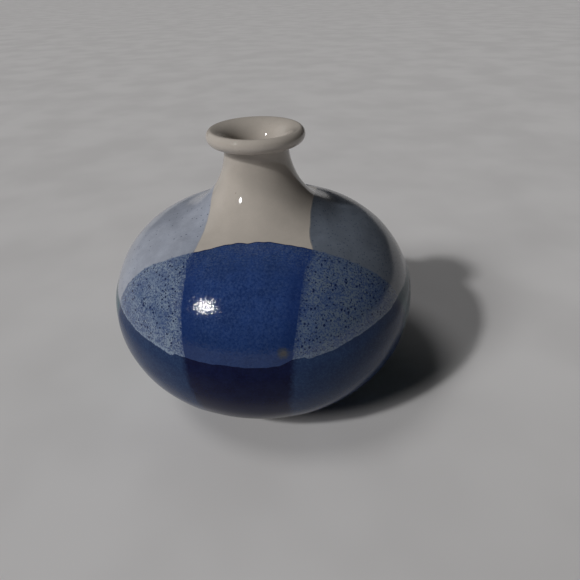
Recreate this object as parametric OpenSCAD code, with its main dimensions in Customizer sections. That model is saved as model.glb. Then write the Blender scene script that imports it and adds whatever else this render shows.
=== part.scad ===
// Bud vase: a hollow, wheel-thrown clay body with fused glaze coats.
// Millimetres, +Z up. The origin is on the axis, in the plane that the foot ring stands on.
// The front, with the widest view of the coloured dips, faces -Y.
// Every curve of the body is a chain of tangent arcs turned about the axis. A coat of glaze
// follows the clay at a constant offset, so its curves are the clay's own arcs moved outwards.

/* [Body] */
// Width of the bare clay body at its widest
belly_d = 109.4; // [95:0.2:132]
// Radius of the arc from the widest ring up over the shoulder
shoulder_r = 32.4; // [27:0.2:39]
// Radius of the hollow arc that sweeps from the shoulder into the neck
sweep_r = 26.4; // [22:0.2:36]
// Radius of the arc just below the widest ring
lower_r = 34.6; // [28:0.2:44]
// Angle that the arc just below the widest ring turns through
lower_turn = 41; // [30:1:50]
// Radius of the arc that runs in to the foot
base_r = 46; // [38:0.5:60]
// Wall thickness of the belly, shoulder and neck sweep
wall = 4.25; // [3.5:0.05:5.5]
// Thickness of the clay floor inside the foot ring
floor_t = 4.5; // [3:0.25:6]

/* [Foot] */
// Outer diameter of the foot ring
foot_d = 54; // [44:1:66]
// Height of the foot ring's outer wall
foot_h = 2.2; // [1.4:0.1:4]
// Width of the foot ring, edge to edge
foot_w = 5; // [3.5:0.5:8]
// Depth of the turned recess inside the foot ring
recess_h = 2; // [1:0.1:3.5]
// Chamfer on both edges of the standing face
foot_ease = 0.6; // [0.3:0.1:1]

/* [Neck and lip] */
// Outer diameter of the bare clay neck at its narrowest
neck_d = 20.8; // [19.6:0.2:23]
// Length of the straight stretch at the narrowest part of the neck
neck_straight = 0.5; // [0.3:0.1:3]
// Diameter of the bore through the neck, before it is glazed
throat_d = 15; // [12.5:0.1:18]
// Distance from the neck's wall out to the centre of the rolled lip
lip_out = 3.5; // [2.6:0.1:5.6]
// Diameter of the roll of clay that forms the lip
lip_roll_d = 4.3; // [3.5:0.1:5.2]
// Radius of the fillet under the lip
lip_fillet_r = 1; // [0.6:0.1:1.6]
// Flattest angle at which the fillet runs into the roll: a lip further out takes a larger fillet
lip_tuck = 35; // [25:1:36]
// Radius of the crest where the lip turns into the mouth
crest_r = 0.75; // [0.5:0.05:1.1]
// Angle up the roll at which the crest begins
crest_turn = 55; // [30:1:75]
// Angle over the crest at which the bell of the mouth begins
bell_turn = 100; // [92:1:120]

/* [Glaze] */
// Thickness of the white coat on the outside
base_t = 0.35; // [0.25:0.01:0.6]
// Thickness of the white liner on the inside
liner_t = 0.35; // [0.25:0.01:0.6]
// Thickness of the cobalt dips at the front and the back, less than a pale dip's
cobalt_t = 0.2; // [0.15:0.01:0.25]
// Thickness of the pale dips at the sides, less than the dark dip's
pale_t = 0.3; // [0.25:0.01:0.36]
// Thickness of the dark dip over the lower half
dark_t = 0.4; // [0.33:0.01:0.6]
// Arc length of bare clay between the foot ring and the white coat
bare_band = 1.5; // [1:0.25:4]
// Arc length by which the dark dip stops short of the white coat's lower edge
dark_gap = 1; // [0.5:0.25:3]

/* [Dip planes] */
// Distance of the front dip's edge plane from the axis, at the widest ring's height
front_off = 23.8; // [18:0.2:34]
// Turn of the front dip's edge plane about the axis
front_yaw = -6; // [-15:1:15]
// Lean of the front dip's edge plane, further out towards the top
front_lean = 6; // [-10:1:10]
// Distance of the back dip's edge plane from the axis, at the widest ring's height
back_off = 23.8; // [18:0.2:34]
// Turn of the back dip's edge plane about the axis
back_yaw = -6; // [-15:1:15]
// Lean of the back dip's edge plane, further out towards the top
back_lean = 6; // [-10:1:10]
// Distance of the left dip's edge plane from the axis, at the widest ring's height
left_off = 10.3; // [8:0.1:20]
// Turn of the left dip's edge plane about the axis
left_yaw = -16; // [-25:1:10]
// Lean of the left dip's edge plane, further out towards the top
left_lean = 7; // [-5:1:12]
// Distance of the right dip's edge plane from the axis, at the widest ring's height
right_off = 16.9; // [8:0.1:20]
// Turn of the right dip's edge plane about the axis
right_yaw = -12; // [-25:1:10]
// Lean of the right dip's edge plane, further out towards the top
right_lean = 5; // [-5:1:12]
// Height of the dark dip's edge above the widest ring, on the axis
dark_rise = 12.6; // [8:0.2:18]
// Lean of the dark dip's edge plane, lower at the front
dark_lean = 6; // [0:0.5:8]

/* [Hidden] */
$fn = 96;
// Largest turn of one straight step along an arc, in degrees
arc_step = 4;
// Size of the blocks that stand for a half of space
far = 400;

belly_rad = belly_d / 2;
neck_rad = neck_d / 2;
throat_rad = throat_d / 2;
foot_rad = foot_d / 2;
lip_ring_rad = neck_rad + lip_out;
lip_rad = lip_roll_d / 2;

// Turn of the shoulder arc, which the sweep arc turns back to the upright
shoulder_turn = acos(1 - (belly_rad - neck_rad) / (shoulder_r + sweep_r));
// Centres of the arcs in radius, then the heights that stack them up from the foot
lower_cr = belly_rad - lower_r;
base_cr = lower_cr + (lower_r - base_r) * cos(lower_turn);
// Turn below the horizontal at which the base arc meets the foot ring
foot_turn = acos((foot_rad - base_cr) / base_r);
base_cz = foot_h + base_r * sin(foot_turn);
belly_h = base_cz + (lower_r - base_r) * sin(lower_turn);
neck_z = belly_h + (shoulder_r + sweep_r) * sin(shoulder_turn);
// Centres of the arcs, as [radius, height]
shoulder_c = [belly_rad - shoulder_r, belly_h];
sweep_c = [neck_rad + sweep_r, neck_z];
lower_c = [lower_cr, belly_h];
base_c = [base_cr, base_cz];
// The fillet reaches from the neck to the roll, however far out the roll stands
fillet_rad = max(lip_fillet_r,
                 (lip_out - lip_rad * cos(lip_tuck)) / (1 + cos(lip_tuck)));
fillet_c = [neck_rad + fillet_rad, neck_z + neck_straight];
lip_reach = lip_rad + fillet_rad;
lip_c = [lip_ring_rad, fillet_c[1] + sqrt(pow(lip_reach, 2) - pow(lip_ring_rad - fillet_c[0], 2))];
lip_start = atan2(fillet_c[1] - lip_c[1], fillet_c[0] - lip_c[0]);
crest_c = lip_c + (lip_rad - crest_r) * [cos(crest_turn), sin(crest_turn)];
bell_r = (crest_c[0] - throat_rad + crest_r * cos(bell_turn)) / (1 + cos(bell_turn));
bell_c = crest_c - (bell_r - crest_r) * [cos(bell_turn), sin(bell_turn)];
// Turns on the base arc at which the white coat and the dark dip stop
white_turn = foot_turn - bare_band / base_r * 180 / PI;
dark_turn = white_turn - dark_gap / base_r * 180 / PI;

// Points along an arc that bulges outwards (bulge = 1) or inwards (bulge = -1), offset by grow
function arc(c, r, from, to, bulge, grow) =
    let (steps = max(2, ceil(abs(to - from) / arc_step)), rr = r + bulge * grow)
    [for (i = [0 : steps]) let (a = from + (to - from) * i / steps) c + rr * [cos(a), sin(a)]];

// Outside of the belly from a turn on the base arc up to the top of the shoulder arc
function belly(grow, start) = concat(
    arc(base_c, base_r, -start, -lower_turn, 1, grow),
    arc(lower_c, lower_r, -lower_turn, 0, 1, grow),
    arc(shoulder_c, shoulder_r, 0, shoulder_turn, 1, grow));

// Outside of the belly and the neck's sweep, up to the narrowest part of the neck
function flank(grow, start) = concat(
    belly(grow, start),
    arc(sweep_c, sweep_r, 180 + shoulder_turn, 180, -1, grow));

// Outside of the whole body up to the top of the lip
function outside(grow, start) = concat(
    flank(grow, start),
    arc(fillet_c, fillet_rad, 180, 180 + lip_start, -1, grow),
    arc(lip_c, lip_rad, lip_start, crest_turn, 1, grow),
    arc(crest_c, crest_r, crest_turn, 90, 1, grow));

// Inside of the body from the top of the lip down to the middle of the floor
function inside(grow) =
    let (in_sweep = sweep_r + wall,
         in_base = base_r - wall - grow,
         bore_turn = acos((sweep_c[0] - throat_rad + grow) / (in_sweep + grow)),
         floor_z = recess_h + floor_t + grow,
         floor_turn = asin((base_c[1] - floor_z) / in_base))
    concat(
        arc(crest_c, crest_r, 90, bell_turn, 1, grow),
        arc(bell_c, bell_r, bell_turn, 180, 1, grow),
        arc(sweep_c, in_sweep, 180 + bore_turn, 180 + shoulder_turn, 1, grow),
        arc(shoulder_c, shoulder_r - wall, shoulder_turn, 0, -1, grow),
        arc(lower_c, lower_r - wall, 0, -lower_turn, -1, grow),
        arc(base_c, base_r - wall, -lower_turn, -floor_turn, -1, grow),
        [[0, floor_z]]);

// Foot ring and turned recess, from the middle of the recess out to the base arc
function foot() = [
    [0, recess_h],
    [foot_rad - foot_w - foot_ease, recess_h],
    [foot_rad - foot_w, foot_ease],
    [foot_rad - foot_w + foot_ease, 0],
    [foot_rad - foot_ease, 0],
    [foot_rad, foot_ease]];

function backwards(path) = [for (i = [len(path) - 1 : -1 : 0]) path[i]];

// One even coat between an inner and an outer path
module coat(inner, outer) {
    rotate_extrude() polygon(concat(outer, backwards(inner)));
}

// Half of space on the far side of a plane: off along X after the turn about Z and the lean
module beyond(off, yaw, lean) {
    translate([0, 0, belly_h]) rotate([0, 0, yaw]) rotate([0, lean, 0])
        translate([off, -far / 2, -far / 2]) cube(far);
}

module front_space() { beyond(front_off, front_yaw - 90, front_lean); }
module back_space() { beyond(back_off, back_yaw + 90, back_lean); }
module left_space() { beyond(left_off, left_yaw + 180, left_lean); }
module right_space() { beyond(right_off, right_yaw, right_lean); }
module cobalt_space() { front_space(); back_space(); }
module pale_space() { left_space(); right_space(); }
module dark_space() {
    translate([0, 0, belly_h + dark_rise]) rotate([dark_lean, 0, 0])
        translate([-far / 2, -far / 2, -far]) cube(far);
}

module clay_body() {
    color("tan") rotate_extrude()
        polygon(concat(foot(), outside(0, foot_turn), inside(0)));
}

module liner_glaze() {
    color("whitesmoke") coat(inside(0), inside(liner_t));
}

module base_glaze() {
    color("ivory") coat(outside(0, white_turn), outside(base_t, white_turn));
}

// A dip of thickness t on top of a depth of coats, over the belly and the neck's sweep
module side_coat(depth, t) {
    coat(flank(depth, white_turn), flank(depth + t, white_turn));
}

module front_dip_glaze() {
    color("royalblue") intersection() { side_coat(base_t, cobalt_t); front_space(); }
}

module back_dip_glaze() {
    color("royalblue") intersection() { side_coat(base_t, cobalt_t); back_space(); }
}

// A pale dip lies on the white coat, and steps up where it crosses a cobalt dip
module pale_dip() {
    difference() { side_coat(base_t, pale_t); cobalt_space(); }
    intersection() { side_coat(base_t + cobalt_t, pale_t); cobalt_space(); }
}

module left_dip_glaze() {
    color("lightsteelblue") intersection() { pale_dip(); left_space(); }
}

module right_dip_glaze() {
    color("lightsteelblue") intersection() { pale_dip(); right_space(); }
}

// The dark dip's thickness on top of a depth of coats, over the belly only
module dark_coat(depth) {
    coat(belly(depth, dark_turn), belly(depth + dark_t, dark_turn));
}

// The dark dip lies on whatever it crosses, and steps with it
module dark_dip_glaze() {
    color("midnightblue") intersection() {
        dark_space();
        union() {
            difference() { dark_coat(base_t); cobalt_space(); pale_space(); }
            difference() {
                intersection() { dark_coat(base_t + cobalt_t); cobalt_space(); }
                pale_space();
            }
            difference() {
                intersection() { dark_coat(base_t + pale_t); pale_space(); }
                cobalt_space();
            }
            intersection() { dark_coat(base_t + cobalt_t + pale_t); cobalt_space(); pale_space(); }
        }
    }
}

clay_body();
liner_glaze();
base_glaze();
front_dip_glaze();
back_dip_glaze();
left_dip_glaze();
right_dip_glaze();
dark_dip_glaze();
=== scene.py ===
"""A wheel-thrown bud vase with overlapping glaze dips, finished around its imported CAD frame."""
import math

import bpy
import numpy as np
from mathutils import Matrix, Vector


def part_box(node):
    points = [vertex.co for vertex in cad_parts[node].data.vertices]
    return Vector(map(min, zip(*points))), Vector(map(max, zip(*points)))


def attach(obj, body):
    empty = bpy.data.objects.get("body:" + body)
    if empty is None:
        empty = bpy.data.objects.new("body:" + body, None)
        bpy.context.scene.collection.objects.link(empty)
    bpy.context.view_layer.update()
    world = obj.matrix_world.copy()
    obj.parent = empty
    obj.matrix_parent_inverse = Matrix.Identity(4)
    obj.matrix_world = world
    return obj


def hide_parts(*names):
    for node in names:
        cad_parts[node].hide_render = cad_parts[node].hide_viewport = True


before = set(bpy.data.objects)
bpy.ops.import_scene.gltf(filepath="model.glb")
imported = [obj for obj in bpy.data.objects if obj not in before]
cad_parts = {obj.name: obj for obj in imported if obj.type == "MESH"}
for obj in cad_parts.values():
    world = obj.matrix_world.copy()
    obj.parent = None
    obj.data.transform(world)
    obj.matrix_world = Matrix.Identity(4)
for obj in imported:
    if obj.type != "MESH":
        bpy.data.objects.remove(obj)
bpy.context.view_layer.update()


MM = 0.001

# ---------------------------------------------------------------- the turned profile
# The same chain of tangent arcs as the CAD body, in millimetres: the widest ring's radius comes
# from the frame, and the other sizes are the part's own.
clay_low, clay_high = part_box("clay_body")
BELLY_R = round((clay_high.x - clay_low.x) / 2 / MM, 2)
NECK_R = 10.4
SHOULDER_R, SWEEP_R, LOWER_R, BASE_R = 32.4, 26.4, 34.6, 46.0
LOWER_TURN = math.radians(41)
FOOT_R, FOOT_H, FOOT_W, RECESS_H, FOOT_EASE = 27.0, 2.2, 5.0, 2.0, 0.6
WALL, FLOOR_T, THROAT_R = 4.25, 4.5, 7.5
LIP_OUT, LIP_R, FILLET_R, CREST_R = 3.5, 2.15, 1.0, 0.75
CREST_TURN, BELL_TURN = math.radians(55), math.radians(100)
NECK_STRAIGHT = 0.5
BARE_BAND = 1.5

# Coat thicknesses, and the widths over which the dips thin out at their edges
BASE_T, LINER_T, COBALT_T, PALE_T, DARK_T = 0.35, 0.35, 0.2, 0.3, 0.4
WHITE_RIM, COBALT_RIM, PALE_RIM, DARK_RIM = 0.8, 3.0, 6.0, 4.5

# The flat cut that ends each side dip: distance from the axis, yaw and lean in degrees
FRONT_CUT, BACK_CUT = (23.8, -96, 6), (23.8, 84, 6)
LEFT_CUT, RIGHT_CUT = (10.3, 164, 7), (16.9, -12, 5)
# The dark dip's cut: height over the widest ring at the axis, and tilt down towards the front
DARK_RISE, DARK_TILT = 12.6, math.radians(6)

# How far the white runs into the mouth, and over what lengths and by how much the two whites get
# thinner there
MOUTH_TURN = math.radians(26)
MOUTH_FADE, LINER_FADE, MOUTH_THINNING = 4.0, 2.2, 0.06

# How deep the whites reach into the clay, and a dip into the coat below it
INTO_CLAY, INTO_COAT = 0.02, 0.05

SHOULDER_TURN = math.acos(1 - (BELLY_R - NECK_R) / (SHOULDER_R + SWEEP_R))
LOWER_CR = BELLY_R - LOWER_R
BASE_CR = LOWER_CR + (LOWER_R - BASE_R) * math.cos(LOWER_TURN)
FOOT_TURN = math.acos((FOOT_R - BASE_CR) / BASE_R)
BASE_CZ = FOOT_H + BASE_R * math.sin(FOOT_TURN)
BELLY_H = BASE_CZ + (LOWER_R - BASE_R) * math.sin(LOWER_TURN)
NECK_Z = BELLY_H + (SHOULDER_R + SWEEP_R) * math.sin(SHOULDER_TURN)
FILLET_C = (NECK_R + FILLET_R, NECK_Z + NECK_STRAIGHT)
LIP_C = (NECK_R + LIP_OUT,
         FILLET_C[1] + math.sqrt((LIP_R + FILLET_R) ** 2 - (LIP_OUT - FILLET_R) ** 2))
LIP_START = math.atan2(FILLET_C[1] - LIP_C[1], FILLET_C[0] - LIP_C[0])
CREST_C = (LIP_C[0] + (LIP_R - CREST_R) * math.cos(CREST_TURN),
           LIP_C[1] + (LIP_R - CREST_R) * math.sin(CREST_TURN))
BELL_R = (CREST_C[0] - THROAT_R + CREST_R * math.cos(BELL_TURN)) / (1 + math.cos(BELL_TURN))
BELL_C = (CREST_C[0] - (BELL_R - CREST_R) * math.cos(BELL_TURN),
          CREST_C[1] - (BELL_R - CREST_R) * math.sin(BELL_TURN))
WHITE_TURN = FOOT_TURN - BARE_BAND / BASE_R
IN_SWEEP = SWEEP_R + WALL
BORE_TURN = math.acos((NECK_R + SWEEP_R - THROAT_R) / IN_SWEEP)
FLOOR_Z = RECESS_H + FLOOR_T
FLOOR_TURN = math.asin((BASE_CZ - FLOOR_Z) / (BASE_R - WALL))


def arc(centre, radius, start, end, bulge, step):
    """Rows of (r, z, normal r, normal z) along an arc. bulge is 1 where the surface faces out."""
    count = max(2, math.ceil(abs(end - start) * radius / step),
                math.ceil(abs(end - start) / math.radians(7)))
    turn = np.linspace(start, end, count + 1)
    cos, sin = np.cos(turn), np.sin(turn)
    return np.stack([centre[0] + radius * cos, centre[1] + radius * sin,
                     bulge * cos, bulge * sin], 1)


def chain(*parts):
    """Joins rows of a profile, leaving out the point that two neighbours share."""
    rows = [parts[0]]
    for part in parts[1:]:
        part = np.asarray(part, float)
        if np.hypot(*(part[0, :2] - rows[-1][-1, :2])) < 1e-6:
            part = part[1:]
        rows.append(part)
    return np.concatenate(rows)


def outside(start, step=0.9):
    """Outside of the body from a turn on the base arc up to the top of the lip."""
    half = math.pi / 2
    return chain(
        arc((BASE_CR, BASE_CZ), BASE_R, -start, -LOWER_TURN, 1, step),
        arc((LOWER_CR, BELLY_H), LOWER_R, -LOWER_TURN, 0, 1, step),
        arc((BELLY_R - SHOULDER_R, BELLY_H), SHOULDER_R, 0, SHOULDER_TURN, 1, step),
        arc((NECK_R + SWEEP_R, NECK_Z), SWEEP_R, math.pi + SHOULDER_TURN, math.pi, -1, step),
        arc(FILLET_C, FILLET_R, math.pi, math.pi + LIP_START, -1, step),
        arc(LIP_C, LIP_R, LIP_START, CREST_TURN, 1, step),
        arc(CREST_C, CREST_R, CREST_TURN, half, 1, step))


def inside(step=1.4):
    """Inside of the body from the top of the lip down to the middle of the floor."""
    in_base = BASE_R - WALL
    return chain(
        arc(CREST_C, CREST_R, math.pi / 2, BELL_TURN, 1, step),
        arc(BELL_C, BELL_R, BELL_TURN, math.pi, 1, step * 0.6),
        arc((NECK_R + SWEEP_R, NECK_Z), IN_SWEEP, math.pi + BORE_TURN, math.pi + SHOULDER_TURN,
            1, step),
        arc((BELLY_R - SHOULDER_R, BELLY_H), SHOULDER_R - WALL, SHOULDER_TURN, 0, -1, step),
        arc((LOWER_CR, BELLY_H), LOWER_R - WALL, 0, -LOWER_TURN, -1, step),
        arc((BASE_CR, BASE_CZ), in_base, -LOWER_TURN, -FLOOR_TURN, -1, step),
        [[BASE_CR + in_base * math.cos(FLOOR_TURN) - 1.5, FLOOR_Z, 0, 1], [14, FLOOR_Z, 0, 1],
         [4, FLOOR_Z, 0, 1], [0.02, FLOOR_Z, 0, 1]])


# ---------------------------------------------------------------- where each dip ends
def wave(t, seed, size=0.22):
    """A small uneven wobble along an edge, in millimetres, t in millimetres."""
    rng = np.random.default_rng(seed)
    out = np.zeros_like(t)
    for length in (23.0, 13.0, 7.9, 5.3, 3.4):
        out += rng.uniform(0.5, 1) * size * (length / 9) ** 0.45 * np.sin(
            2 * math.pi * (t / length + rng.uniform()))
    return out


def smooth(x, low, high):
    """0 below low and 1 above high, with a smooth rise between."""
    t = np.clip((x - low) / (high - low), 0, 1)
    return t * t * (3 - 2 * t)


def along_surface(gap, n, u):
    """A distance along u, stretched to the distance along the surface with normals n."""
    return gap / np.sqrt(np.clip(1 - (n @ u) ** 2, 0.04, 1))


def plane_gap(p, n, cut):
    """Distance along the surface past a leaning vertical plane, positive beyond it."""
    offset, yaw, lean = cut[0], math.radians(cut[1]), math.radians(cut[2])
    u = np.array([math.cos(lean) * math.cos(yaw), math.cos(lean) * math.sin(yaw),
                  -math.sin(lean)])
    return along_surface((p - [0, 0, BELLY_H]) @ u - offset, n, u)


def front_gap(p, n):
    """Past the front cobalt's edge, which bows up in the middle and has one small notch."""
    x = p[:, 0]
    sag = -1.35 * np.cos(2 * math.pi * (x + 1) / 54) * smooth(x, -52, -30)
    notch = 0.54 * np.exp(-((x + 4.5) / 1.3) ** 2)
    return plane_gap(p, n, FRONT_CUT) - sag - notch - wave(x, 3, 0.10)


def back_gap(p, n):
    """Past the back cobalt's edge, much like the front's but turned half round."""
    x = p[:, 0]
    sag = -1.1 * np.cos(2 * math.pi * (x - 6) / 61)
    return plane_gap(p, n, BACK_CUT) - sag - wave(x, 5, 0.2)


def left_gap(p, n):
    """Past the left pale dip's edge, which closes in on the neck."""
    y, z = p[:, 1], p[:, 2]
    bow = 1.7 * smooth(y, -38, -8)
    return plane_gap(p, n, LEFT_CUT) + bow - wave(0.7 * (y + z), 7, 0.07)


def right_gap(p, n):
    """Past the right pale dip's edge, which closes in on the neck and hollows below it."""
    y, z = p[:, 1], p[:, 2]
    bow = 1.8 * smooth(y, -28, -8) - 1.5 * np.exp(-((y + 30) / 4.2) ** 2)
    return plane_gap(p, n, RIGHT_CUT) + bow - wave(0.7 * (y - z), 11, 0.07)


def dark_gap(p, n):
    """Distance along the surface below the dark dip's edge, which steps up right of the front."""
    x, y = p[:, 0], p[:, 1]
    front = smooth(-y, -20, 5)
    step = -0.9 + 1.5 * smooth(x, 2, 7) + 1.2 * smooth(x, 6, 42) - 0.9 * smooth(x, 44, 50)
    u = np.array([0, math.sin(DARK_TILT), -math.cos(DARK_TILT)])
    gap = (p - [0, 0, BELLY_H + DARK_RISE]) @ u + step * front
    return along_surface(gap, n, u) + wave(np.arctan2(x, -y) * BELLY_R, 13, 0.08)


def foot_gap(turn, length, seed, start):
    """Distance above a coat's lower edge by the foot, which was wiped by hand."""
    t = turn * FOOT_R
    ring = 2 * math.pi * FOOT_R
    rng = np.random.default_rng(seed)
    out = length - start
    for count in (3, 7, 12, 19):
        out = out - 0.11 * rng.uniform(0.4, 1) * np.sin(count * 2 * math.pi * t / ring
                                                        + rng.uniform(0, 6.28))
    return out


def swell(gap, width, bead=0.0):
    """Share of a coat's full thickness at a distance from its edge: a rounded, glassy rim."""
    return smooth(gap, 0, width) * (1 + bead * np.exp(-((gap - width) / (width * 1.3)) ** 2))


def rise(gap, width):
    """How far a coat lifts the next one where it ends: softer than the coat's own rim."""
    return smooth(gap, -0.35 * width, 1.2 * width)


# ---------------------------------------------------------------- meshes
AROUND = 400


class Skin:
    """The turned surface as a grid of points, their normals and the distances to every edge."""

    def __init__(self, profile):
        self.rows = len(profile)
        turn = np.linspace(0, 2 * math.pi, AROUND, endpoint=False)
        length = np.concatenate([[0], np.cumsum(np.hypot(*np.diff(profile[:, :2], axis=0).T))])
        cos, sin = np.cos(turn), np.sin(turn)
        r, z, nr, nz = (profile[:, k][:, None] for k in range(4))
        flat = np.ones_like(cos)
        self.p = np.stack([r * cos, r * sin, z * flat], 2).reshape(-1, 3)
        self.n = np.stack([nr * cos, nr * sin, nz * flat], 2).reshape(-1, 3)
        long = np.repeat(length, AROUND)
        turns = np.tile(turn, self.rows)
        throwing_rings = 0.022 * np.sin(2 * math.pi * long / 8.7 + turns)
        out_of_round = 0.03 * np.sin(2 * turns + 0.6) * np.sin(long / 19)
        self.p += self.n * ((throwing_rings + out_of_round) * smooth(long, 4, 14))[:, None]
        self.field = {
            "front": front_gap(self.p, self.n), "back": back_gap(self.p, self.n),
            "left": left_gap(self.p, self.n), "right": right_gap(self.p, self.n),
            "dark": dark_gap(self.p, self.n), "long": long,
            "foot_white": foot_gap(turns, long, 21, 0.25),
            "foot_cobalt": foot_gap(turns, long, 22, 0.6),
            "foot_pale": foot_gap(turns, long, 23, 0.9),
            "foot_dark": foot_gap(turns, long, 24, 1.5)}
        self.field["blue"] = np.maximum(self.field["front"], self.field["back"])
        self.field["pale"] = np.maximum(self.field["left"], self.field["right"])


def grid_faces(rows):
    """Quads between neighbouring rings, facing the way the profile's normals do."""
    j, i = np.meshgrid(np.arange(rows - 1), np.arange(AROUND), indexing="ij")
    k = (i + 1) % AROUND
    quads = np.stack([j * AROUND + i, j * AROUND + k, (j + 1) * AROUND + k,
                      (j + 1) * AROUND + i], 2)
    return quads.reshape(-1, 4)


def split(faces, v, level, points):
    """Cuts faces along v = level. points grows by (a, b, share) for each new corner."""
    made, out = {}, []
    for face in faces:
        side = [v[c] - level for c in face]
        if min(side) >= 0 or max(side) <= 0:
            out.append(face)
            continue
        above, below = [], []
        for k, c in enumerate(face):
            d, nxt, e = side[k], face[(k + 1) % len(face)], side[(k + 1) % len(face)]
            if d >= 0:
                above.append(c)
            if d <= 0:
                below.append(c)
            if d * e < 0:
                key = (min(c, nxt), max(c, nxt))
                if key not in made:
                    a, b = key
                    made[key] = len(v)
                    share = (level - v[a]) / (v[b] - v[a])
                    points.append((a, b, share))
                    v.append(level)
                above.append(made[key])
                below.append(made[key])
        out += [f for f in (above, below) if len(f) > 2]
    return out


def cut_along(field, level, faces, p, n, cols):
    """Cuts the faces where a field crosses a level, and fills in the new points' fields."""
    column = cols[field]
    column[np.abs(column - level) < 0.05] = level
    span = column[np.array([f[:4] if len(f) > 3 else f + [f[0]] for f in faces])] - level
    crossing = (span.min(1) < 0) & (span.max(1) > 0)
    crossing |= np.array([len(f) > 4 for f in faces])
    same = [f for f, c in zip(faces, crossing) if not c]
    points = []
    cut = split([f for f, c in zip(faces, crossing) if c], list(column), level, points)
    if points:
        a, b, t = (np.array(column) for column in zip(*points))
        p = np.concatenate([p, p[a] + (p[b] - p[a]) * t[:, None]])
        n = np.concatenate([n, n[a] + (n[b] - n[a]) * t[:, None]])
        cols = {k: np.concatenate([v, v[a] + (v[b] - v[a]) * t]) for k, v in cols.items()}
        cols[field][-len(points):] = level
    return same + cut, p, n, cols


def open_edges(faces):
    """The edges that only one face has, in that face's direction."""
    edges = {}
    for f in faces:
        for a, b in zip(f, f[1:] + f[:1]):
            if (b, a) in edges:
                del edges[(b, a)]
            else:
                edges[(a, b)] = True
    return list(edges)


def coat_mesh(name, skin, edges, cuts, top, under):
    """A closed coat over the part of the skin where every edge field is positive.
    cuts are extra (field, level) lines that get their own row of points, and top and under give
    the height of the outer and the inner surface over the clay, from the fields."""
    keep = np.minimum.reduce([skin.field[e] for e in edges])
    quads = grid_faces(skin.rows)
    faces = quads[keep[quads].max(1) > -0.01].tolist()
    cols = {k: v.copy() for k, v in skin.field.items()}
    p, n = skin.p, skin.n
    for field, level in [(e, 0.0) for e in edges] + list(cuts):
        faces, p, n, cols = cut_along(field, level, faces, p, n, cols)
    least = np.minimum.reduce([cols[e] for e in edges])
    faces = [f for f in faces if np.mean(least[f]) > 0 and min(least[f]) > -1e-6]
    used = np.unique(np.concatenate([np.array(f) for f in faces]))
    index = np.full(len(p), -1)
    index[used] = np.arange(len(used))
    p, n = p[used], n[used] / np.linalg.norm(n[used], axis=1)[:, None]
    cols = {k: v[used] for k, v in cols.items()}
    faces = [[int(index[c]) for c in f] for f in faces]
    outer = p + n * top(cols)[:, None]
    inner = p + n * under(cols)[:, None]
    count = len(p)
    rim = open_edges(faces)
    walls = [[b, a, a + count, b + count] for a, b in rim]
    back = [[c + count for c in reversed(f)] for f in faces]
    return make_mesh(name, np.concatenate([outer, inner]), faces + walls + back,
                     {k: np.concatenate([v, v]) for k, v in cols.items()}, sharp=rim)


def make_mesh(name, points, faces, fields=(), sharp=()):
    """A smooth-shaded mesh object in metres, with its fields as vertex attributes."""
    mesh = bpy.data.meshes.new(name)
    mesh.from_pydata((points * MM).tolist(), [], faces)
    mesh.update()
    mesh.polygons.foreach_set("use_smooth", [True] * len(mesh.polygons))
    for key in fields:
        layer = mesh.attributes.new(key, "FLOAT", "POINT")
        layer.data.foreach_set("value", fields[key].astype(np.float32))
    if len(sharp):
        wanted = set(tuple(sorted(e)) for e in sharp)
        flags = [tuple(sorted(e.vertices)) in wanted for e in mesh.edges]
        layer = mesh.attributes.new("sharp_edge", "BOOLEAN", "EDGE")
        layer.data.foreach_set("value", flags)
    piece = bpy.data.objects.new(name, mesh)
    bpy.context.scene.collection.objects.link(piece)
    return piece


def turned_mesh(name, rows):
    """A closed solid of revolution from rows of (r, z) that start and end close to the axis."""
    rows = np.asarray(rows, float)
    turn = np.linspace(0, 2 * math.pi, AROUND, endpoint=False)
    p = np.stack([rows[:, :1] * np.cos(turn), rows[:, :1] * np.sin(turn),
                  rows[:, 1:2] * np.ones_like(turn)], 2).reshape(-1, 3)
    faces = grid_faces(len(rows)).tolist()
    first = list(range(AROUND))
    last = [(len(rows) - 1) * AROUND + i for i in range(AROUND)]
    faces.append(first[::-1])
    faces.append(last)
    return make_mesh(name, p, faces)


def clay_profile():
    """The clay from the middle of the recess, round the foot, up the outside and down inside."""
    r_in, ease = FOOT_R - FOOT_W, FOOT_EASE
    foot = [[0.02, RECESS_H], [14, RECESS_H], [r_in - ease - 1.2, RECESS_H],
            [r_in - ease - 0.3, RECESS_H - 0.12], [r_in - 0.15, RECESS_H - 0.5],
            [r_in, ease + 0.15], [r_in + 0.2, 0.2], [r_in + ease, 0.0], [FOOT_R - 2.5, 0.0],
            [FOOT_R - ease, 0.0], [FOOT_R - 0.2, 0.2], [FOOT_R, ease + 0.1], [FOOT_R, 1.4]]
    outer = outside(FOOT_TURN, 1.3)[:, :2]
    inner = inside(2.0)[1:, :2]
    return foot + outer.tolist() + inner.tolist()


# ---------------------------------------------------------------- heights over the clay
# top_... is a coat's own surface, and over_... is the softer one that the next coat follows.
def under_white(f):
    """The whites' inner surface, just within the clay."""
    return np.full(len(f["long"]), -INTO_CLAY)


def top_white(f):
    return BASE_T * swell(f["foot_white"], WHITE_RIM, 0.1)


def top_cobalt(f):
    edge = np.minimum(f["blue"], f["foot_cobalt"])
    return top_white(f) + COBALT_T * swell(edge, COBALT_RIM, 0.1)


def over_cobalt(f):
    edge = np.minimum(f["blue"], f["foot_cobalt"])
    return top_white(f) + COBALT_T * rise(edge, COBALT_RIM)


def top_pale(f):
    edge = np.minimum(f["pale"], f["foot_pale"])
    return over_cobalt(f) + PALE_T * swell(edge, PALE_RIM, 0.06)


def over_pale(f):
    edge = np.minimum(f["pale"], f["foot_pale"])
    return over_cobalt(f) + PALE_T * rise(edge, PALE_RIM)


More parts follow.
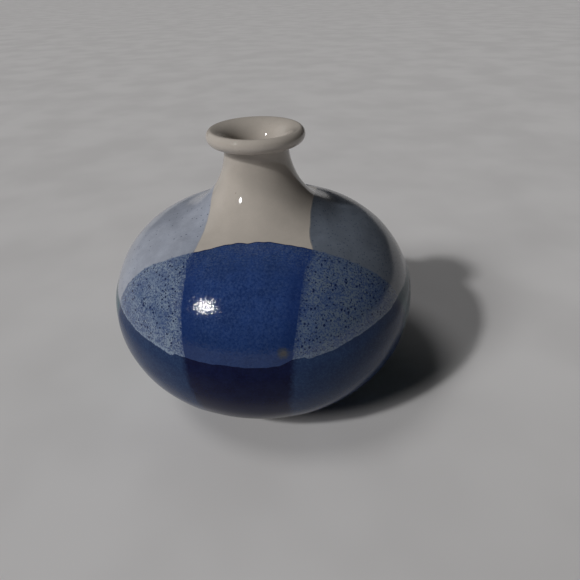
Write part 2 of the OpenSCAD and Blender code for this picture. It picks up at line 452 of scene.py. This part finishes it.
def top_dark(f):
    edge = np.minimum(f["dark"], f["foot_dark"])
    return over_pale(f) + DARK_T * swell(edge, DARK_RIM, 0.12)


# ---------------------------------------------------------------- pieces
RIM_SHARES = (0.15, 0.4, 0.7, 1.0, 1.5)
STEP_SHARES = (-0.35, 0.0, 0.4, 0.8, 1.2)


def lines(field, width, shares=RIM_SHARES):
    """Rows of points along an edge, at shares of its rim's width."""
    return [(field, width * share) for share in shares]


def outer_white():
    """The white coat, which runs over the crest and gets thinner where it ends in the mouth."""
    skin = Skin(chain(outside(WHITE_TURN),
                      arc(CREST_C, CREST_R, math.pi / 2, BELL_TURN, 1, 0.3),
                      arc(BELL_C, BELL_R, BELL_TURN, BELL_TURN + MOUTH_TURN, 1, 0.7)))
    to_end = skin.field["long"].max() - skin.field["long"]
    skin.field["fade"] = smooth(to_end, 0, MOUTH_FADE)
    return coat_mesh("outer_white_glaze", skin, ["foot_white"], lines("foot_white", WHITE_RIM),
                     lambda f: top_white(f) - MOUTH_THINNING * (1 - f["fade"]), under_white)


def inner_white():
    """The white liner, from just under the crest down over the floor."""
    skin = Skin(inside())
    skin.field["fade"] = smooth(skin.field["long"], 0, LINER_FADE)
    return coat_mesh("inner_white_glaze", skin, ["long"], [],
                     lambda f: LINER_T - MOUTH_THINNING * (1 - f["fade"]), under_white)


body_skin = Skin(outside(WHITE_TURN))


def dip(name, edge, foot, width, crossed, top, under):
    """A dip coat, with rows of points along its own rims and along the rims that it crosses."""
    steps = [line for field, wide in crossed for line in lines(field, wide, STEP_SHARES)]
    return coat_mesh(name, body_skin, [edge, foot],
                     lines(edge, width) + lines(foot, width) + steps, top,
                     lambda f: under(f) - INTO_COAT)


BLUE, PALE = ("blue", COBALT_RIM), ("pale", PALE_RIM)
clay = turned_mesh("thrown_clay", clay_profile())
white = outer_white()
liner = inner_white()
front = dip("front_cobalt_dip", "front", "foot_cobalt", COBALT_RIM, [], top_cobalt, top_white)
back = dip("back_cobalt_dip", "back", "foot_cobalt", COBALT_RIM, [], top_cobalt, top_white)
left = dip("left_pale_dip", "left", "foot_pale", PALE_RIM, [BLUE], top_pale, over_cobalt)
right = dip("right_pale_dip", "right", "foot_pale", PALE_RIM, [BLUE], top_pale, over_cobalt)
dark = dip("lower_dark_dip", "dark", "foot_dark", DARK_RIM, [PALE, BLUE], top_dark, over_pale)


# ---------------------------------------------------------------- materials
class Paint:
    """A node material, with short calls for the nodes that the glazes share."""

    def __init__(self, name, roughness, ior=1.5):
        self.material = bpy.data.materials.new(name)
        self.material.use_nodes = True
        self.tree = self.material.node_tree
        self.tree.nodes.clear()
        out = self.add("ShaderNodeOutputMaterial")
        self.shader = self.add("ShaderNodeBsdfPrincipled")
        self.shader.inputs["Roughness"].default_value = roughness
        self.shader.inputs["IOR"].default_value = ior
        self.link(self.shader.outputs[0], out.inputs["Surface"])
        self.place = self.add("ShaderNodeTexCoord").outputs["Object"]

    def add(self, kind):
        """A new node of that kind."""
        return self.tree.nodes.new(kind)

    def link(self, source, socket):
        """Links an output to an input."""
        self.tree.links.new(source, socket)

    def put(self, node, name, value):
        """Sets a socket to a number or colour, or links another node's output to it."""
        socket = node.inputs[name]
        if isinstance(value, bpy.types.NodeSocket):
            self.link(value, socket)
        elif isinstance(value, (tuple, list)) and len(value) == 3 and len(
                getattr(socket, "default_value", (0, 0, 0))) == 4:
            socket.default_value = (*value, 1)
        else:
            socket.default_value = value

    def math(self, kind, a, b=0.0, c=0.0):
        """One arithmetic step on up to three values."""
        node = self.add("ShaderNodeMath")
        node.operation = kind
        for k, value in enumerate((a, b, c)):
            self.put(node, k, value)
        return node.outputs[0]

    def field(self, name):
        """A distance to an edge, in millimetres, that the mesh carries at its points."""
        node = self.add("ShaderNodeAttribute")
        node.attribute_name = name
        return node.outputs["Fac"]

    def shifted(self, offset, stretch=(1, 1, 1)):
        """The place on the vase, moved so that two patterns don't coincide."""
        node = self.add("ShaderNodeMapping")
        self.link(self.place, node.inputs["Vector"])
        node.inputs["Location"].default_value = offset
        node.inputs["Scale"].default_value = stretch
        return node.outputs[0]

    def noise(self, size, detail=3.0, rough=0.55, seed=0.0, stretch=(1, 1, 1)):
        """Noise of about that grain size in millimetres, from 0 to 1."""
        node = self.add("ShaderNodeTexNoise")
        self.link(self.shifted((seed * 0.37, seed * 0.11, seed * 0.23), stretch),
                  node.inputs["Vector"])
        node.inputs["Scale"].default_value = 1 / (size * MM)
        node.inputs["Detail"].default_value = detail
        node.inputs["Roughness"].default_value = rough
        return node.outputs["Fac"]

    def cells(self, size, seed=0.0):
        """Cells of about that size: distance to the cell's point, and a random number of it."""
        node = self.add("ShaderNodeTexVoronoi")
        self.link(self.shifted((seed * 0.31, seed * 0.17, seed * 0.07)), node.inputs["Vector"])
        node.inputs["Scale"].default_value = 1 / (size * MM)
        pick = self.add("ShaderNodeSeparateColor")
        self.link(node.outputs["Color"], pick.inputs[0])
        return node.outputs["Distance"], pick.outputs[0]

    def span(self, value, low, high, to_low=0.0, to_high=1.0, smooth_step=True):
        """Maps low to high onto to_low to to_high, clamped."""
        node = self.add("ShaderNodeMapRange")
        node.interpolation_type = "SMOOTHSTEP" if smooth_step else "LINEAR"
        for name, number in (("Value", value), ("From Min", low), ("From Max", high),
                             ("To Min", to_low), ("To Max", to_high)):
            self.put(node, name, number)
        return node.outputs["Result"]

    def mix(self, share, a, b):
        """Goes from colour a to colour b as share goes from 0 to 1."""
        node = self.add("ShaderNodeMix")
        node.data_type = "RGBA"
        for k, value in ((0, share), (6, a), (7, b)):
            self.put(node, k, value)
        return node.outputs[2]

    def near(self, point, radius, soft, rough_edge=0.5, seed=0.0):
        """1 within a ragged spot about a point on the vase, in millimetres."""
        gap = self.add("ShaderNodeVectorMath")
        gap.operation = "DISTANCE"
        self.link(self.place, gap.inputs[0])
        gap.inputs[1].default_value = tuple(v * MM for v in point)
        ragged = self.math("MULTIPLY_ADD", self.noise(0.9, 2, 0.6, seed), -2 * rough_edge * MM,
                           rough_edge * MM)
        reach = self.math("ADD", gap.outputs["Value"], ragged)
        return self.span(reach, (radius + soft) * MM, (radius - soft) * MM)

    def bump(self, *layers):
        """Layers of (height in 0 to 1, depth in millimetres, strength)."""
        normal = None
        for height, depth, strength in layers:
            node = self.add("ShaderNodeBump")
            node.inputs["Strength"].default_value = strength
            node.inputs["Distance"].default_value = depth * MM
            self.link(height, node.inputs["Height"])
            if normal is not None:
                self.link(normal, node.inputs["Normal"])
            normal = node.outputs[0]
        self.link(normal, self.shader.inputs["Normal"])

    def colour(self, value):
        self.link(value, self.shader.inputs["Base Color"])

    def roughness(self, value):
        self.link(value, self.shader.inputs["Roughness"])


WHITE, IRON_BROWN = (0.485, 0.438, 0.388), (0.16, 0.12, 0.09)
CLAY_DARK, CLAY_LIGHT, CLAY_GRAIN = (0.50, 0.36, 0.24), (0.62, 0.47, 0.33), (0.30, 0.20, 0.13)

COBALT, COBALT_BY_PALE = (0.020, 0.048, 0.165), (0.010, 0.028, 0.125)
COBALT_GRAIN_LIGHT, COBALT_GRAIN_DARK = (0.050, 0.088, 0.215), (0.008, 0.022, 0.092)
COBALT_LOW, COBALT_FLECK = (0.008, 0.024, 0.088), (0.105, 0.145, 0.225)
COBALT_LINE = (0.008, 0.016, 0.060)

# Each pale dip's tone over white and over cobalt, the specks in it over white, and the tones that
# break it up over cobalt. The right dip's tone over white is darker than its own colour: part of it
# is painted shade for the vase's shaded right side.
LEFT_TONE, LEFT_VEIL = (0.325, 0.350, 0.415), (0.20, 0.255, 0.335)
RIGHT_TONE_AND_SHADE, RIGHT_VEIL = (0.140, 0.162, 0.200), (0.118, 0.156, 0.212)
PALE_SPECK, VEIL_THIN = (0.045, 0.062, 0.105), (0.055, 0.095, 0.205)
VEIL_GROUND, VEIL_DOT = (0.030, 0.058, 0.165), (0.008, 0.016, 0.065)

# The dark dip's tones, in pairs for its grain, by the coats that it lies on. They are darker than the
# glaze's own colour: part of each is painted shade for the lower body, which gets little light.
DARK_ON_COBALT_AND_SHADE = (0.001, 0.002, 0.022), (0.004, 0.007, 0.046)
DARK_ON_BOTH_AND_SHADE = (0.015, 0.033, 0.092), (0.030, 0.061, 0.132)
DARK_ON_PALE_AND_SHADE = (0.060, 0.114, 0.145), (0.096, 0.160, 0.182)
DARK_ON_WHITE_AND_SHADE = (0.02, 0.04, 0.085), (0.035, 0.065, 0.12)
DARK_CLOUD = (0.008, 0.016, 0.06)

# The iron spot's place, in millimetres, and its tones
SPOT_X, SPOT_Y, SPOT_Z = 4, -53.4, BELLY_H + 10
SPOT_RING, SPOT_CORE = (0.045, 0.055, 0.080), (0.085, 0.075, 0.065)

FLOOR_DARK, FLOOR_LIGHT = (0.64, 0.625, 0.62), (0.70, 0.685, 0.68)


def times(tone, share):
    """A tone made darker or lighter."""
    return tuple(v * share for v in tone)


def iron_specks(paint, base):
    """Sparse fine brown specks that burnt through the glaze."""
    gap, pick = paint.cells(2.6, 4)
    some = paint.span(pick, 0.88, 0.90)
    dot = paint.math("MULTIPLY", paint.span(gap, 0.12, 0.05), some)
    return paint.mix(paint.math("MULTIPLY", dot, 0.55), base, IRON_BROWN)


def white_glaze(name):
    """Warm, glassy white with faint clouds and iron specks."""
    paint = Paint(name, 0.09)
    cloud = paint.noise(9, 3, 0.5, 1)
    fine = paint.noise(0.6, 3, 0.6, 2)
    base = paint.mix(paint.span(cloud, 0.3, 0.7), times(WHITE, 0.95), times(WHITE, 1.05))
    base = paint.mix(paint.span(fine, 0.35, 0.7, 0, 0.10), base, times(WHITE, 0.72))
    base = iron_specks(paint, base)
    paint.colour(base)
    paint.roughness(paint.span(paint.noise(3, 2, 0.5, 3), 0.3, 0.7, 0.035, 0.065))
    paint.bump((paint.noise(3.2, 2, 0.5, 5), 0.04, 0.12),
               (paint.noise(0.5, 2, 0.5, 6), 0.01, 0.15))
    return paint.material


def clay_paint():
    """Bare fired clay, with fine turning rings and grit."""
    paint = Paint("bare_clay", 0.85)
    grain = paint.noise(0.45, 5, 0.7, 8)
    ring = paint.noise(2.4, 3, 0.6, 9, (1, 1, 4))
    base = paint.mix(paint.span(ring, 0.3, 0.7), CLAY_DARK, CLAY_LIGHT)
    base = paint.mix(paint.span(grain, 0.55, 0.75, 0, 0.5), base, CLAY_GRAIN)
    paint.colour(base)
    paint.bump((ring, 0.08, 0.4), (grain, 0.06, 0.6))
    return paint.material


def cobalt_tone(paint):
    """The cobalt's own mottled blue, and the grain noise that it is made with."""
    cloud = paint.noise(5.5, 4, 0.6, 11)
    grain = paint.noise(0.75, 4, 0.75, 12)
    base = paint.mix(paint.span(cloud, 0.32, 0.68), times(COBALT, 0.85), times(COBALT, 1.15))
    base = paint.mix(paint.span(grain, 0.47, 0.66, 0, 0.60), base, COBALT_GRAIN_LIGHT)
    base = paint.mix(paint.span(grain, 0.50, 0.34, 0, 0.7), base, COBALT_GRAIN_DARK)
    beside = paint.math("MULTIPLY", paint.span(paint.field("pale"), -6.5, -1.5, 0, 0.5),
                        paint.span(paint.field("pale"), 2.0, 0.0))
    return paint.mix(beside, base, COBALT_BY_PALE), grain


def cobalt_glaze(name):
    """Grainy cobalt with a dark, ragged edge and pale flecks that thicken towards it."""
    paint = Paint(name, 0.14, 1.42)
    base, grain = cobalt_tone(paint)
    edge = paint.field("blue")
    base = paint.mix(paint.span(paint.field("dark"), -20, -1, 0, 0.55), base, COBALT_LOW)
    ragged = paint.math("MULTIPLY_ADD", paint.noise(1.1, 3, 0.6, 14), -0.35, edge)
    thin = paint.span(edge, 16.0, 0.5, 0, 0.6)
    flecks = paint.span(paint.noise(0.55, 3, 0.7, 15), 0.45, 0.68)
    base = paint.mix(paint.math("MULTIPLY", thin, flecks), base, COBALT_FLECK)
    line = paint.math("MULTIPLY", paint.span(ragged, 0.35, -0.05, 0, 0.95),
                      paint.span(paint.field("pale"), 1.0, -0.5))
    base = paint.mix(line, base, COBALT_LINE)
    paint.colour(iron_spot(paint, base))
    paint.roughness(paint.span(grain, 0.3, 0.7, 0.06, 0.10))
    paint.bump((paint.noise(2.6, 2, 0.5, 5), 0.03, 0.08),
               (paint.noise(0.95, 2, 0.6, 16), 0.085, 1.0))
    return paint.material


def iron_spot(paint, base):
    """One brown-grey iron spot at the front, by the dark dip's edge."""
    spot = paint.near((SPOT_X, SPOT_Y, SPOT_Z), 1.7, 0.6, 0.8, 3)
    core = paint.near((SPOT_X + 0.1, SPOT_Y, SPOT_Z), 0.8, 0.4, 0.5, 5)
    base = paint.mix(paint.math("MULTIPLY", spot, 0.85), base, SPOT_RING)
    return paint.mix(paint.math("MULTIPLY", core, 0.6), base, SPOT_CORE)


def speckled(paint, pale):
    """Pale glaze that broke into speckles over the cobalt."""
    patch = paint.span(paint.noise(8, 4, 0.6, 27), 0.42, 0.66, 0, 0.55)
    thin = paint.mix(patch, pale, VEIL_THIN)
    grain = paint.noise(0.62, 3, 0.75, 21)
    dense = paint.span(paint.noise(6, 3, 0.6, 26), 0.35, 0.65, 0.50, 0.56)
    ground = paint.mix(paint.span(grain, dense, paint.math("SUBTRACT", dense, 0.07), 0, 0.75),
                       thin, VEIL_GROUND)
    ragged = paint.span(paint.noise(0.5, 2, 0.6, 23), 0.2, 0.8, -0.06, 0.06)
    gap, pick = paint.cells(1.15, 22)
    size = paint.span(pick, 0.15, 1.0, 0.06, 0.42, False)
    large = paint.span(paint.math("ADD", gap, ragged), size, paint.math("SUBTRACT", size, 0.08))
    small_gap, small_pick = paint.cells(0.58, 24)
    small_size = paint.span(small_pick, 0.2, 1.0, 0.05, 0.48, False)
    small = paint.span(small_gap, small_size, paint.math("SUBTRACT", small_size, 0.14))
    dots = paint.math("MAXIMUM", large, paint.math("MULTIPLY", small, 0.9))
    return paint.mix(paint.math("MULTIPLY", dots, 0.95), ground, VEIL_DOT)


def pale_glaze(name, tone, veil_tone, seed, specks):
    """Pale grey-blue, with a share of specks, that turns to speckles where it lies on cobalt."""
    paint = Paint(name, 0.16)
    cloud = paint.noise(6, 4, 0.6, seed)
    fine = paint.noise(0.7, 4, 0.65, seed + 1)
    base = paint.mix(paint.span(cloud, 0.3, 0.7), times(tone, 0.9), times(tone, 1.08))
    base = paint.mix(paint.span(fine, 0.40, 0.75, 0, 0.22), base, times(tone, 0.6))
    gap, pick = paint.cells(0.8, seed + 3)
    dot = paint.math("MULTIPLY", paint.span(gap, 0.40, 0.20),
                     paint.span(pick, 1 - specks, 1.02 - specks, 0, 0.8))
    base = paint.mix(dot, base, PALE_SPECK)
    over = speckled(paint, veil_tone)
    edge = paint.field("pale")
    shade = paint.noise(0.8, 4, 0.75, seed + 2)
    veil = paint.span(paint.math("MULTIPLY_ADD", shade, -9.0, edge), -6.2, -1.8)
    bare, _ = cobalt_tone(paint)
    over = paint.mix(veil, bare, over)
    by_dark = paint.math("MULTIPLY", paint.span(paint.field("dark"), -1.1, -0.2, 0, 0.7),
                         paint.span(paint.noise(0.8, 3, 0.7, 29), 0.42, 0.56))
    over = paint.mix(by_dark, over, times(veil_tone, 1.25))
    blue = paint.math("MULTIPLY_ADD", paint.noise(1.2, 3, 0.6, seed + 2), 0.9,
                      paint.math("SUBTRACT", paint.field("blue"), 0.45))
    base = paint.mix(paint.span(edge, 0.55, 0.0, 0, 0.6), base, times(WHITE, 0.8))
    base = paint.mix(paint.span(blue, -0.35, 0.35), base, over)
    paint.colour(base)
    paint.roughness(paint.span(fine, 0.3, 0.7, 0.12, 0.22))
    paint.bump((paint.noise(2.8, 2, 0.5, 5), 0.04, 0.12),
               (paint.noise(0.45, 2, 0.6, 16), 0.012, 0.4))
    return paint.material


def dark_glaze(name):
    """Deep blue whose tone depends on the coats that it lies on, and which is darkened partly as
    painted shade for the lower body.
    """
    paint = Paint(name, 0.17, 1.28)
    paint.shader.inputs["Specular IOR Level"].default_value = 0.35
    cloud = paint.noise(4.5, 4, 0.6, 31)
    grain = paint.noise(0.6, 4, 0.7, 32)
    on_cobalt = paint.mix(paint.span(grain, 0.4, 0.75), *DARK_ON_COBALT_AND_SHADE)
    on_both = paint.mix(paint.span(grain, 0.4, 0.7), *DARK_ON_BOTH_AND_SHADE)
    on_pale = paint.mix(paint.span(grain, 0.35, 0.7), *DARK_ON_PALE_AND_SHADE)
    on_white = paint.mix(paint.span(grain, 0.35, 0.7), *DARK_ON_WHITE_AND_SHADE)
    blue, pale = paint.field("blue"), paint.field("pale")
    wob = paint.span(paint.noise(1.6, 3, 0.6, 33), 0.2, 0.8, -0.6, 0.6)
    cobalt_there = paint.span(paint.math("ADD", blue, wob), -1.5, 2.5)
    pale_there = paint.span(paint.math("ADD", pale, wob), -0.8, 1.8)
    with_pale = paint.mix(cobalt_there, on_pale, on_both)
    without_pale = paint.mix(cobalt_there, on_white, on_cobalt)
    base = paint.mix(pale_there, without_pale, with_pale)
    base = paint.mix(paint.span(cloud, 0.3, 0.7, 0.0, 0.3), base, DARK_CLOUD)
    paint.colour(iron_spot(paint, base))
    paint.roughness(paint.span(grain, 0.3, 0.7, 0.12, 0.22))
    paint.bump((paint.noise(2.8, 2, 0.5, 5), 0.05, 0.12),
               (paint.noise(0.45, 2, 0.6, 16), 0.012, 0.4))
    return paint.material


def wear(piece, material, node):
    """Gives a piece its material, and says which body it rides on and what it replaces."""
    piece.data.materials.append(material)
    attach(piece, "root")
    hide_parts(node)


wear(clay, clay_paint(), "clay_body")
wear(white, white_glaze("white_glaze_outside"), "base_glaze")
wear(liner, white_glaze("white_glaze_inside"), "liner_glaze")
wear(front, cobalt_glaze("cobalt_glaze_front"), "front_dip_glaze")
wear(back, cobalt_glaze("cobalt_glaze_back"), "back_dip_glaze")
wear(left, pale_glaze("pale_glaze_left", LEFT_TONE, LEFT_VEIL, 41, 0.08),
     "left_dip_glaze")
# The right dip's tone over white is partly painted shade for the shaded right side.
wear(right, pale_glaze("pale_glaze_right", RIGHT_TONE_AND_SHADE, RIGHT_VEIL, 47, 0.30),
     "right_dip_glaze")
wear(dark, dark_glaze("dark_glaze_lower"), "dark_dip_glaze")


# ---------------------------------------------------------------- floor, light and camera
FLOOR_REACH = 6.0
COLD_WHITE = (0.97, 0.98, 1.0)
SKY, SKY_STRENGTH = (0.95, 0.97, 1.0), 0.012
CAMERA_YAW, CAMERA_PITCH, CAMERA_ROLL = (math.radians(v) for v in (3.35, 32.46, -1.75))
CAMERA_PLACE = (0, -0.167, (BELLY_H + 104.2) * MM)
CAMERA_LENS, SENSOR = 31.034, 36.0


def floor():
    """A pale floor under the foot ring."""
    mesh = bpy.data.meshes.new("floor")
    corners = [(x * FLOOR_REACH, y * FLOOR_REACH, 0) for x, y in ((-1, -1), (1, -1), (1, 1), (-1, 1))]
    mesh.from_pydata(corners, [], [(0, 1, 2, 3)])
    plane = bpy.data.objects.new("floor", mesh)
    bpy.context.scene.collection.objects.link(plane)
    paint = Paint("pale_floor", 0.9)
    paint.shader.inputs["Specular IOR Level"].default_value = 0.1
    cloud = paint.noise(60, 2, 0.5, 61)
    paint.colour(paint.mix(paint.span(cloud, 0.3, 0.7), FLOOR_DARK, FLOOR_LIGHT))
    plane.data.materials.append(paint.material)


def sun(name, direction, strength, degrees, colour=(1, 1, 1), mirrored=False):
    """Distant light from a direction, with the width that it is seen at. Only the mirrored ones
    show as glints in the glaze."""
    data = bpy.data.lights.new(name, "SUN")
    data.energy = strength
    data.angle = math.radians(degrees)
    data.color = colour
    lamp = bpy.data.objects.new(name, data)
    lamp.rotation_euler = Vector(direction).to_track_quat("Z", "Y").to_euler()
    lamp.visible_glossy = mirrored
    bpy.context.scene.collection.objects.link(lamp)


floor()
sun("key", (-0.64, -0.43, 0.63), 1.05, 3.6, mirrored=True)
sun("key_soft", (-0.70, -0.46, 0.55), 0.85, 14)
sun("overhead", (-0.45, -0.04, 0.89), 0.45, 18)
sun("window", (-0.60, 0.60, 0.52), 0.12, 60, COLD_WHITE)
sun("sheen", (-0.74, 0.56, 0.37), 0.14, 50, COLD_WHITE, mirrored=True)

world = bpy.data.worlds.new("soft_studio")
world.use_nodes = True
sky = world.node_tree.nodes["Background"]
sky.inputs["Color"].default_value = (*SKY, 1)
sky.inputs["Strength"].default_value = SKY_STRENGTH
bpy.context.scene.world = world
bpy.context.scene.view_settings.view_transform = "Standard"


def aim_camera():
    """The photograph's angle: 32 degrees down, close by, a little off the vase's front."""
    level = math.cos(CAMERA_PITCH)
    ahead = Vector((math.sin(CAMERA_YAW) * level, math.cos(CAMERA_YAW) * level,
                    -math.sin(CAMERA_PITCH)))
    side = ahead.cross(Vector((0, 0, 1))).normalized()
    up = side.cross(ahead)
    across = side * math.cos(CAMERA_ROLL) + up * math.sin(CAMERA_ROLL)
    above = up * math.cos(CAMERA_ROLL) - side * math.sin(CAMERA_ROLL)
    data = bpy.data.cameras.new("camera")
    data.lens, data.sensor_width = CAMERA_LENS, SENSOR
    data.clip_start = 0.01
    camera = bpy.data.objects.new("camera", data)
    turned = Matrix((across, above, -ahead)).transposed().to_4x4()
    camera.matrix_world = Matrix.Translation(CAMERA_PLACE) @ turned
    bpy.context.scene.collection.objects.link(camera)
    bpy.context.scene.camera = camera


aim_camera()
